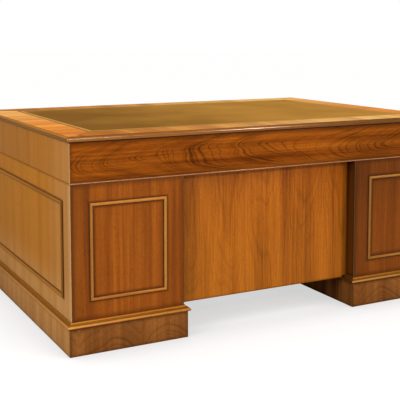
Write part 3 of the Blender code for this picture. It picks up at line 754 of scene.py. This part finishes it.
class DESK_OT_pedestals(bpy.types.Operator):
    """Panelled pedestals on moulded bases and plinths"""

    bl_idname = "desk.pedestals"
    bl_label = "Pedestals"

    # The right pedestal is painted darker, as less light falls on it, with more painted shade under its head
    # and beside its moulding
    falloff_share = {"left": 1.0, "right": 0.75}
    moulding_falloff_share = {"left": 1.0, "right": 0.64}
    plinth_share = {"left": 1.03, "right": 0.86}
    head_shading = {"left": 0.05, "right": 0.45}
    glaze_fade_mm = {"left": 9, "right": 14}
    # Width of a panel moulding, and how far the crown of a plinth's front stands off its middle
    moulding_mm = 15
    crown_shift = Vector((-80 * mm, 0, 0))

    def execute(self, context):
        for number, word in enumerate(("left", "right")):
            self.walls(word, 30 + 10 * number)
            self.base(word, 50 + 10 * number)
            self.mouldings(word, 70 + 10 * number)
            self.shelves(word, 90 + 10 * number)
        return {'FINISHED'}

    def walls(self, word, seed):
        """The visitor panel and the two sides."""
        node, moulding = word + "_visitor_panel", word + "_panel_moulding"
        fade = self.glaze_fade_mm[word]
        # Painted shade along the panel's edges and beside its moulding, darker towards its left edge, and
        # under its head mostly on the right pedestal
        edges = [edge_shade(node, (0, 2), 24, 0.6), edge_shade(moulding, (0, 2), fade, 0.6),
                 edge_shade(moulding, (0, 2), 1.35 * fade, 0.6, inset_mm=self.moulding_mm),
                 edge_shade(node, (0, 0), 130, 0.36, side="low"),
                 edge_shade(node, (2, 2), 330, self.head_shading[word], side="high")]
        self.wall(node, wood(node + "_veneer", "veneer", 2, seed, self.falloff_share[word], 45, 9, 0.6,
                             outlines=edges))
        node, moulding = word + "_outer_side", word + "_end_panel_moulding"
        # The end: painted highlights along its upright edges, a painted floor reflection towards the
        # visitor's side and low down, and painted shade beside its moulding
        edges = painted_end_light(node) + [edge_shade(node, (2, 2), 200, 0.45, "rubbed", "low"),
                                   edge_shade(moulding, (1, 2), 9, 0.6),
                                   edge_shade(moulding, (1, 2), 5, 0.6, inset_mm=self.moulding_mm)]
        self.wall(node, wood(node + "_veneer", "end", 2, seed + 1, 1.02, 60, 9, 0.45, outlines=edges,
                             gloss=0.5, specular=0.02))
        # The kneehole side is painted dark all over (share 0.24) and along its edges: painted shade, as it
        # stands in shadow
        node = word + "_inner_side"
        self.wall(node, wood(node + "_veneer", "veneer", 2, seed + 2, 0.24,
                             outlines=[edge_shade(node, (1, 2), 25)]))

    def wall(self, node, material):
        """A board whose arris takes a painted highlight at the desk's outer corner, and a faint one at the
        kneehole.
        """
        reach = max(abs(corner.x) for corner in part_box(node)) - 2 * sizes().corner_round
        is_outer = reach > sizes().kneehole

        def rule(face):
            if on_corner(face) and is_outer and abs(face.center.x) > reach:
                return "rubbed"
            return "faint" if on_corner(face) and face.normal.y < 0 else "veneer"

        materials = {"veneer": material, "rubbed": plain(node + "_rubbed_arris", "rubbed"),
                     "faint": plain(node + "_faint_arris", "rubbed", 0.22, specular=0.05)}
        show(eased_board(node), node, materials, rule)

    def base(self, word, seed):
        """Moulded base board with its round nose, hollow and fillet, and the plinth under it."""
        size = sizes()
        middle, half = middle_and_half(word + "_base_board")
        outer = max(abs(corner.x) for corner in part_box(word + "_outer_side"))
        inner = min(abs(corner.x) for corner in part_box(word + "_inner_side"))
        half_x = (outer - inner) / 2
        reach = half.x - half_x
        half_y = half.y - reach
        nose = size.base_nose / 2
        round_nose = arc((reach - nose, nose), (nose, nose), -90, 80, 12)
        neck_x, neck_z = round_nose[-1]
        rise = 2 * half.z - size.fillet - neck_z
        hollow = arc((neck_x, neck_z + rise), (neck_x - size.fillet, rise), -90, -180)
        profile = round_nose + hollow[1:] + [(size.fillet, 2 * half.z)]
        foot = middle - Vector((0, 0, half.z))
        board = sweep(word + "-base-board", half_x, half_y, profile, foot)
        way_of = way_rule(middle, half_x, half_y)

        def rule(face):
            way, level = way_of(face), face.center.z - foot.z
            if way == "y" and abs(face.center.x) < abs(middle.x):
                return "kneehole"
            if level < nose:
                return "foot_x" if way == "x" else "nose_y"
            if level < neck_z:
                return "nose_" + way
            return ("hollow_" if level < 2 * half.z - size.fillet else "fillet_") + way

        show(board, word + "_base_board", self.base_materials(word, seed), rule)
        self.plinth(word, seed, way_of)

    def base_materials(self, word, seed):
        """Woods of the base moulding: honey along the front, paler along the end, with lit and shaded copies:
        the fillet painted lighter, and the hollow, the nose's foot and the kneehole side painted darker as
        shade.
        """
        def front(part, number, share, **polish):
            lit_share = share * self.moulding_falloff_share[word]
            return wood(f"{word}_base_{part}_x", "honey", 0, seed + number, lit_share, **solid, **polish)

        def end(part, number, share, **shading):
            return wood(f"{word}_base_{part}_y", "end", 1, seed + number, share, **end_solid, **shading)

        # An even painted floor reflection: its fade is so long that it is half there all along the nose
        floor_reflection = ((1, 1), far_low, far_high, 2 * far, "floor_reflection", 0.2)
        return {
            "nose_x": front("nose", 0, 1.0, **honeyed), "nose_y": end("nose", 1, 0.9, outlines=[floor_reflection]),
            "hollow_x": front("hollow", 2, 0.45, specular=0.03), "hollow_y": end("hollow", 3, 0.5),
            "fillet_x": front("fillet", 7, 1.3, contrast=0.6, specular=0.03),
            "fillet_y": end("fillet", 8, 0.75),
            "foot_x": front("nose_foot", 9, 0.62, specular=0.03),
            "kneehole": wood(word + "_base_kneehole_y", "plinth", 1, seed + 10, 0.4, **solid),
        }

    def plinth(self, word, seed, way_of):
        """A plain plinth with a figured front, an outer side paler with a painted floor reflection, and a
        kneehole side painted dark as shade.
        """
        node = word + "_plinth"
        middle = middle_and_half(node)[0]
        side_edge = edge_shade(node, (1, 2), 14)
        materials = {
            "x": wood(node + "_veneer_front", "plinth", 2, seed + 4, self.plinth_share[word], 45, 10, 0.5,
                      figure=(middle + self.crown_shift, 0, 120, 26, -3.0, 1.0, 0.36),
                      outlines=[edge_shade(node, (0, 2), 14)]),
            "y": wood(node + "_veneer_outside", "end", 2, seed + 5, 0.92, 45, 12, **dulled,
                      outlines=[side_edge, edge_shade(node, (1, 1), 2500, 0.15, "floor_reflection", "low")]),
            "kneehole": wood(node + "_veneer_inside", "plinth", 2, seed + 6, 0.7, 45, 12,
                             outlines=[side_edge]),
        }

        def rule(face):
            way = way_of(face)
            return "kneehole" if way == "y" and abs(face.center.x) < abs(middle.x) else way

        show(eased_board(node), node, materials, rule)

    def mouldings(self, word, seed):
        """Applied mouldings: a half round bead between two flat margins, mitred at the corners."""
        outwards = math.copysign(math.pi / 2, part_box(word + "_plinth")[0].x)
        share = self.moulding_falloff_share[word]
        self.moulding(word + "_panel_moulding", seed, 0, 0, ("honey", share, 0.74 * share, honeyed))
        self.moulding(word + "_end_panel_moulding", seed, 1, outwards, ("end", 0.85, 0.5, dulled))

    def moulding(self, node, seed, wide, turn, looks):
        """One moulding, wide along X or Y. Looks: its timber, shares of rails and stiles, and polish."""
        size = sizes()
        middle, half = middle_and_half(node)
        thin = 1 - wide
        step = size.bead_step
        bead = 2 * half[thin] - step
        width = 2 * (bead + size.bead_quirk)
        section = [(0, 0), (0, step)] + arc((-width / 2, step), (bead, bead), 0, 180, 12)
        section += [(-width, step), (-width, 0), (0, 0)]
        back = Vector(middle)
        back[thin] += math.copysign(half[thin], -middle[thin])
        piece = sweep(node.replace("_", "-"), half[wide], half.z, section, back, (math.pi / 2, 0, turn),
                      frame_only=True)

        def rule(face):
            if abs(face.center[thin] - back[thin]) < step + weld:
                return "glaze"
            across = abs(face.center[wide] - middle[wide]) - half[wide]
            return "stile" if across > abs(face.center.z - middle.z) - half.z else "rail"

        # The stiles take a darker copy of the rails' wood as painted shade, since the light falls from above
        # onto the rails, and the flat margins take a dark line of painted shade
        timber, rail_share, stile_share, polish = looks
        polish = {**solid, **polish}
        materials = {"rail": wood(node + "_rail", timber, wide, seed, rail_share, **polish),
                     "stile": wood(node + "_stile", timber, 2, seed + 1, stile_share, **polish),
                     "glaze": plain(node + "_umber_glaze", "shading", 2.0)}
        show(piece, node, materials, rule)

    def shelves(self, word, seed):
        """The boards over and between the drawers."""
        timber = wood(word + "_carcase_timber", "end", 0, seed, gloss=0.55, specular=0.1)
        for node in [word + "_top_board"] + [n for n in frame["nodes"] if n.startswith(word + "_shelf_")]:
            self.wall(node, timber)


class DESK_OT_drawers(bpy.types.Operator):
    """Cocked drawer fronts and dovetailed oak linings"""

    bl_idname = "desk.drawers"
    bl_label = "Drawers"

    # Depths from a front's faces: past which its keyhole is cut, and from its back to the bead's band
    key_depth, bead_depth = 8 * mm, 15 * mm
    side_width = 13 * mm

    def execute(self, context):
        oak = {"side": self.oak_material("quartered_oak_along", 1),
               "across": self.oak_material("quartered_oak_across", 0)}
        bead = wood("cock_bead_mahogany", "honey", 0, 120, 0.7, **solid)
        # Painted shade inside the keyholes
        key_slot = plain("key_slot", "shading", 0.4, gloss=0.8)
        for number, word in enumerate(drawer_words):
            self.front(word + "_drawer_front", 121 + number, bead, key_slot)
            self.lining(word + "_drawer_box", oak)
        return {'FINISHED'}

    def front(self, node, seed, bead, key_slot):
        """A figured front inside its cock bead, with painted shade along the bead and in its keyhole."""
        edge = sizes().cock_bead
        low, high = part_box(node)
        middle, half = middle_and_half(node)
        veneer = wood(node + "_veneer", "veneer", 0, seed, contrast=0.8,
                      figure=(middle, 2, half.z / mm, 70, 3.0, 3.0, 0.55),
                      outlines=[edge_shade(node, (0, 2), 16, inset_mm=edge / mm)])

        def rule(face):
            spot = face.center
            inside = abs(spot.x - middle.x) < half.x - edge and abs(spot.z - middle.z) < half.z - edge
            in_key = face.normal.y < 0.9 or spot.y < high.y - self.key_depth
            if inside and spot.y > low.y + self.key_depth and in_key:
                return "key_slot"
            return "veneer" if inside or spot.y <= low.y + self.bead_depth else "bead"

        show(eased_board(node, 0.3), node, {"veneer": veneer, "bead": bead, "key_slot": key_slot}, rule)

    def lining(self, node, oak):
        """A dovetailed box: grain runs along its sides, and across its back and bottom."""
        middle, half = middle_and_half(node)

        def rule(face):
            return "side" if half.x - abs(face.center.x - middle.x) < self.side_width else "across"

        show(eased_board(node, 0.5), node, oak, rule)

    def oak_material(self, name, grain):
        """Planed oak, bare: pale straw colour with open pores and a dry, matt face."""
        material, add, shader, place = new_material(name)
        band = grain_noise(add, place, grain, 30, 1200, 2.0)
        fibre = grain_noise(add, place, grain, 1.2, 60, 3.0)
        pore = grain_noise(add, place, grain, 0.6, 12, 0.0)
        blend = add('Mix', {0: 0.4, 2: band, 3: fibre})
        shade = add('ValToRGB', (blend,), ((0.35, tone("oak", 0.62)), (0.65, tone("oak", 1.1))))
        opened = add('MapRange', (pore, 0.58, 0.7, 0, 0.6))
        shade = add('Mix', {0: opened, 6: shade, 7: tone("oak", 0.3)}, **colour_mix)
        bump = add('Bump', {"Height": pore, "Strength": 0.25, "Distance": 0.2 * mm})
        set_inputs(shader, {"Base Color": shade, "Roughness": 0.7, "Normal": bump, "Specular IOR Level": 0.3})
        return material


class DESK_OT_handles(bpy.types.Operator):
    """Shaped brass plates with turned posts, swan-necked bails and keyholes"""

    bl_idname = "desk.handles"
    bl_label = "Handles"

    # Shares of half the plate's width and height, round one quarter of its outline
    plate_quarter_shares = (
        (0.00, 1.00), (0.11, 0.94), (0.19, 0.76), (0.31, 0.64), (0.45, 0.68), (0.56, 0.84),
        (0.70, 0.92), (0.83, 0.80), (0.90, 0.56), (0.89, 0.34), (1.00, 0.18), (1.00, 0.00),
    )
    # Shares of the neck's reach past the post and of the bail's drop, then of the post's place and the drop
    neck_shares = ((0.00, 0.00), (0.72, 0.05), (1.00, 0.26), (0.66, 0.52), (-0.30, 0.70))
    bow_shares = ((0.62, 0.86), (0.30, 0.97))
    # Radius of the flat on a post's ball, as a share of the ball's
    flat_share = 0.06
    age_mm = 14

    def execute(self, context):
        brass = {"brass": self.brass_material()}
        joints = frame["record"]["behaviour"]["joints"]
        pivots = {joint["child"]: Vector(joint["pos_m"]) for joint in joints if "pos_m" in joint}
        pivot = pivots[drawer_words[0] + "_handle"]
        low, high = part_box(drawer_words[0] + "_handle_plate")
        plate = self.plate(high.x - low.x, high.z - low.z, pivot.y - low.y, high.y - pivot.y)
        bail = self.bail(high.y - pivot.y)
        keyhole = self.keyhole()
        for word in drawer_words:
            pivot = pivots[word + "_handle"]
            node = word + "_handle_plate"
            back = Vector((pivot.x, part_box(node)[0].y, pivot.z))
            show(self.copy_to(plate, word + "-handle-plate", back), node, brass)
            show(self.copy_to(bail, word + "-bail", pivot), word + "_bail", brass)
            if word in locked_words:
                self.place_keyhole(keyhole, word, brass)
        for source in (plate, bail, keyhole):
            bpy.data.objects.remove(source, do_unlink=True)
        return {'FINISHED'}

    def copy_to(self, source, name, place):
        """A copy of a finished shape with its own mesh, moved to its place."""
        piece = source.copy()
        piece.data = source.data.copy()
        piece.name = piece.data.name = name
        piece.data.transform(Matrix.Translation(place))
        bpy.context.scene.collection.objects.link(piece)
        return piece

    def outline_curve(self, points, fill, handles='AUTO'):
        """A closed curve through points in the plane."""
        choose()
        bpy.ops.curve.primitive_bezier_circle_add()
        piece = bpy.context.object
        piece.data.dimensions = '2D'
        piece.data.fill_mode = fill
        line = piece.data.splines[0]
        line.bezier_points.add(len(points) - len(line.bezier_points))
        for point, (across, up) in zip(line.bezier_points, points):
            point.co = (across, up, 0)
            point.handle_left_type = point.handle_right_type = handles
        return piece

    def as_mesh(self, piece):
        """Turn a curve into a closed mesh with its faces outward."""
        choose(piece)
        bpy.ops.object.convert(target='MESH')
        piece = bpy.context.object
        edit(piece)
        bpy.ops.mesh.remove_doubles(threshold=weld)
        bpy.ops.mesh.normals_make_consistent(inside=False)
        return settle(piece)

    def carve(self, piece, tool, operation):
        """Join a tool shape to the piece or cut it out, and put the tool away."""
        choose(piece)
        change = piece.modifiers.new("carve", 'BOOLEAN')
        change.object = tool
        change.operation = operation
        change.solver = 'EXACT'
        bpy.ops.object.modifier_apply(modifier=change.name)
        bpy.data.objects.remove(tool, do_unlink=True)

    def plate(self, width, height, pivot_reach, ball):
        """A shaped plate with a bevelled edge and two turned posts, bored for the bail's pins."""
        size = sizes()
        quarter = [(x * width / 2, z * height / 2) for x, z in self.plate_quarter_shares]
        right = quarter + [(x, -z) for x, z in reversed(quarter[:-1])]
        plate = self.outline_curve(right + [(-x, z) for x, z in reversed(right[1:-1])], 'BOTH')
        plate.data.resolution_u = 5
        plate.data.extrude = size.plate / 2 - size.plate_bevel
        plate.data.bevel_depth = size.plate_bevel
        plate.data.bevel_resolution = 2
        plate.data.offset = -size.plate_bevel
        plate.rotation_euler.x = math.pi / 2
        plate.location.y = size.plate / 2
        self.as_mesh(plate)
        for side in (-1, 1):
            self.carve(plate, self.post(side * size.post_centres / 2, pivot_reach, ball), 'UNION')
        choose()
        bpy.ops.mesh.primitive_cylinder_add(vertices=24, radius=size.pin + size.pin_gap, depth=width,
                                            location=(0, pivot_reach, 0), rotation=(0, math.pi / 2, 0))
        self.carve(plate, bpy.context.object, 'DIFFERENCE')
        return settle(plate)

    def post(self, across, pivot_reach, ball):
        """A turned post: rounded flange, waisted neck, collar and ball."""
        size = sizes()
        rim = size.flange_rise / 2
        waist = size.flange - rim - size.neck
        profile = [(size.flange, size.plate / 2)]
        profile += arc((size.flange - rim, size.plate + rim), (rim, rim), 0, 90, 4)
        profile += arc((size.neck + waist, size.plate + 2 * rim + waist), (-waist, -waist), 90, 0, 6)[1:]
        start = -math.degrees(math.acos(size.neck / ball))
        top = math.degrees(math.acos(self.flat_share))
        profile += arc((0, pivot_reach), (ball, ball), start, top, 14)
        return sweep("post", 0, 0, profile, (across, 0, 0), (-math.pi / 2, 0, 0), turned=True)

    def bail(self, ball):
        """A bail swept along its swan-necked line: thin pins and necks that swell into the bow."""
        size = sizes()
        post = size.post_centres / 2
        half = [(post - size.neck, 0.0)]
        half += [(post + ball + size.shoulder * across, size.drop * down)
                 for across, down in self.neck_shares]
        half += [(post * across, size.drop * down) for across, down in self.bow_shares]
        whole = half + [(0.0, size.drop)] + [(-across, down) for across, down in reversed(half)]
        choose()
        bpy.ops.curve.primitive_bezier_curve_add()
        bail = bpy.context.object
        bail.data.bevel_depth = size.bail
        bail.data.bevel_resolution = 4
        bail.data.resolution_u = 7
        bail.data.use_fill_caps = True
        line = bail.data.splines[0]
        line.bezier_points.add(len(whole) - len(line.bezier_points))
        thin = size.pin / size.bail
        for number, (point, (across, down)) in enumerate(zip(line.bezier_points, whole)):
            from_end = min(number, len(whole) - 1 - number)
            point.co = (across, 0, -down)
            point.handle_left_type = point.handle_right_type = 'VECTOR' if from_end < 2 else 'AUTO'
            point.radius = min(1, thin + (1 - thin) * max(0, from_end - 1) / (len(half) - 1))
        return self.as_mesh(bail)

    def keyhole(self):
        """A brass thread let in round a keyhole: a wire bent round its eye and slot."""
        size = sizes()
        eye = size.key_height / 2 - size.key_eye
        neck = math.degrees(math.asin(size.key_neck / 2 / size.key_eye))
        points = arc((0, eye), (size.key_eye, size.key_eye), neck - 90, 270 - neck, 14)
        points += [(-size.key_foot / 2, -size.key_height / 2), (size.key_foot / 2, -size.key_height / 2)]
        wire = self.outline_curve(points, 'NONE', 'VECTOR')
        wire.data.dimensions = '3D'
        wire.data.bevel_depth = size.thread / 2
        wire.data.bevel_resolution = 3
        wire = self.as_mesh(wire)
        wire.rotation_euler.x = math.pi / 2
        return settle(wire)

    def place_keyhole(self, keyhole, word, brass):
        """Seat the thread round the keyhole that the drawer front has over its handle."""
        plate_low, plate_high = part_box(word + "_handle_plate")
        front_low, front_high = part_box(word + "_drawer_front")
        level = (plate_high.z + front_high.z - sizes().cock_bead) / 2
        place = Vector(((front_low.x + front_high.x) / 2, plate_low.y, level))
        piece = self.copy_to(keyhole, word + "-keyhole-thread", place)
        paint(piece, brass)
        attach(piece, body_of(word + "_drawer_front"))

    def brass_material(self):
        """Cast and lacquered brass: warm yellow, duller and browner where the lacquer has aged."""
        material, add, shader, place = new_material("lacquered_brass")
        age = add('TexNoise', {"Vector": place, "Scale": 1 / (self.age_mm * mm), "Detail": 3.0})
        shade = add('ValToRGB', (age,), ((0.30, tone("brass", 0.7)), (0.55, tone("brass"))))
        rough = add('MapRange', (age, 0.35, 0.6, 0.36, 0.20))
        set_inputs(shader, {"Base Color": shade, "Roughness": rough, "Metallic": 1.0})
        return material


class DESK_OT_stage(bpy.types.Operator):
    """Pale floor, soft studio light and the camera"""

    bl_idname = "desk.stage"
    bl_label = "Stage"

    camera_place = (-1.818, -3.420, 1.141)
    camera_yaw = -27.653
    camera_pitch = -5.808
    image_pixels = 400
    focal_pixels = 873.88
    horizon_shift = -0.2
    sensor_mm = 36.0
    warm = (1.0, 0.78, 0.6)
    # Share of open sky over a spot of the floor, and the paper's brightness there
    glow_shares = ((0.0, 0.82), (0.58, 0.82), (0.64, 0.87), (0.7, 0.915), (0.8, 0.95), (0.95, 1.0))

    def execute(self, context):
        self.floor()
        self.world()
        self.sky_light("over-head", (-0.05, 0, 0), 14, 1.6)
        self.sky_light("front-sky", (0.9, 0.1, 0), 70, 0.52)
        self.lamp("key-left", (-4.4, -2.0, 2.6), (-0.6, -0.2, 0.5), 2.4, 120)
        self.lamp("gloss-right", (1.83, -3.6, 1.9), (0.0, -0.5, 0.7), 0.38, 32, self.warm)
        self.lamp("gloss-left", (0.35, -3.6, 1.9), (-0.6, -0.5, 0.7), 0.36, 11.5, self.warm)
        self.camera()
        return {'FINISHED'}

    def floor(self):
        """A wide floor, white to the eye and grey as a source of bounced light."""
        choose()
        bpy.ops.mesh.primitive_plane_add(size=80)
        floor = bpy.context.object
        floor.name = "studio-floor"
        material, add, shader, place = new_material("painted_floor")
        grit = add('TexNoise', {"Vector": place, "Scale": 1 / 0.6})
        shade = add('ValToRGB', (grit,), ((0.3, tone("ground", 0.98)), (0.7, tone("ground"))))
        # White to the eye, but a middle grey as a source of bounced light and reflections
        seen = add('LightPath', output="Is Camera Ray")
        shade = add('Mix', {0: seen, 6: (0.42, 0.38, 0.30, 1), 7: shade}, **colour_mix)
        set_inputs(shader, {"Base Color": shade, "Roughness": 0.8, "Specular IOR Level": 0.1})
        # The paper-white floor greys softly where the desk shuts off the sky, and shows little of each shadow
        sky = add('AmbientOcclusion', {"Distance": 0.6}, output="AO")
        glow = add('ValToRGB', (sky,), self.glow_shares)
        paper = add('Emission', {"Color": glow})
        fill = add('Math', (seen, 0.75), operation='MULTIPLY')
        mixed = add('MixShader', (fill, shader.outputs[0], paper))
        set_inputs(material.node_tree.nodes["Material Output"], {"Surface": mixed})
        paint(floor, {"floor": material})

    def world(self):
        """White to the eye, softer as a source of light and in reflections."""
        world = bpy.data.worlds.new("studio")
        bpy.context.scene.world = world
        world.use_nodes = True
        add = partial(add_node, world.node_tree)
        rays = add('LightPath').node.outputs
        dim = add('MapRange', (rays["Is Glossy Ray"], 0, 1, 0.55, 0.35))
        strength = add('Mix', {0: rays["Is Camera Ray"], 2: dim, 3: 1.0})
        walls = add('Mix', {0: rays["Is Glossy Ray"], 6: (1, 1, 1, 1), 7: (1.0, 0.84, 0.54, 1)}, **colour_mix)
        set_inputs(world.node_tree.nodes["Background"], {"Color": walls, "Strength": strength})

    def sky_light(self, name, turn, spread, strength):
        """Even light from a wide ceiling panel."""
        choose()
        bpy.ops.object.light_add(type='SUN', rotation=turn)
        lamp = bpy.context.object
        lamp.name = name
        lamp.data.angle = math.radians(spread)
        lamp.data.energy = strength

    def lamp(self, name, place, target, size, power, tint=(1, 1, 1)):
        """A square lamp turned to its target."""
        choose()
        bpy.ops.object.light_add(type='AREA', location=place)
        lamp = bpy.context.object
        lamp.name = name
        lamp.data.size = size
        lamp.data.energy = power
        lamp.data.color = tint
        lamp.rotation_euler = (Vector(target) - Vector(place)).to_track_quat('-Z', 'Y').to_euler()

    def camera(self):
        """The camera that was fitted to the photograph."""
        choose()
        turn = (math.radians(90 + self.camera_pitch), 0, math.radians(self.camera_yaw))
        bpy.ops.object.camera_add(location=self.camera_place, rotation=turn)
        camera = bpy.context.object
        camera.data.sensor_width = self.sensor_mm
        camera.data.lens = self.focal_pixels * self.sensor_mm / self.image_pixels
        camera.data.shift_y = self.horizon_shift
        camera.data.clip_end = 200
        bpy.context.scene.camera = camera
        bpy.context.scene.view_settings.view_transform = 'Standard'


class DESK_PT_parts(bpy.types.Panel):
    """Lists the desk's sizes, colours and pieces"""

    bl_label = "Pedestal desk"
    bl_idname = "DESK_PT_parts"
    bl_space_type = 'VIEW_3D'
    bl_region_type = 'UI'
    bl_category = "Desk"

    def draw(self, context):
        for group in (context.scene.desk_sizes, context.scene.desk_colours):
            for name in group.__annotations__:
                self.layout.prop(group, name)
        for operator in operators:
            self.layout.operator(operator.bl_idname)


operators = (DESK_OT_top, DESK_OT_hide, DESK_OT_frieze, DESK_OT_modesty, DESK_OT_pedestals, DESK_OT_drawers,
             DESK_OT_handles, DESK_OT_stage)
classes = (DeskSizes, DeskColours, *operators, DESK_PT_parts)


def register():
    for entry in classes:
        bpy.utils.register_class(entry)
    bpy.types.Scene.desk_sizes = PointerProperty(type=DeskSizes)
    bpy.types.Scene.desk_colours = PointerProperty(type=DeskColours)


def unregister():
    del bpy.types.Scene.desk_sizes
    del bpy.types.Scene.desk_colours
    for entry in reversed(classes):
        bpy.utils.unregister_class(entry)


def main():
    """Build the desk and its stage."""
    register()
    bpy.ops.desk.top()
    bpy.ops.desk.hide()
    bpy.ops.desk.frieze()
    bpy.ops.desk.modesty()
    bpy.ops.desk.pedestals()
    bpy.ops.desk.drawers()
    bpy.ops.desk.handles()
    bpy.ops.desk.stage()
    choose()


if __name__ == "__main__":
    main()
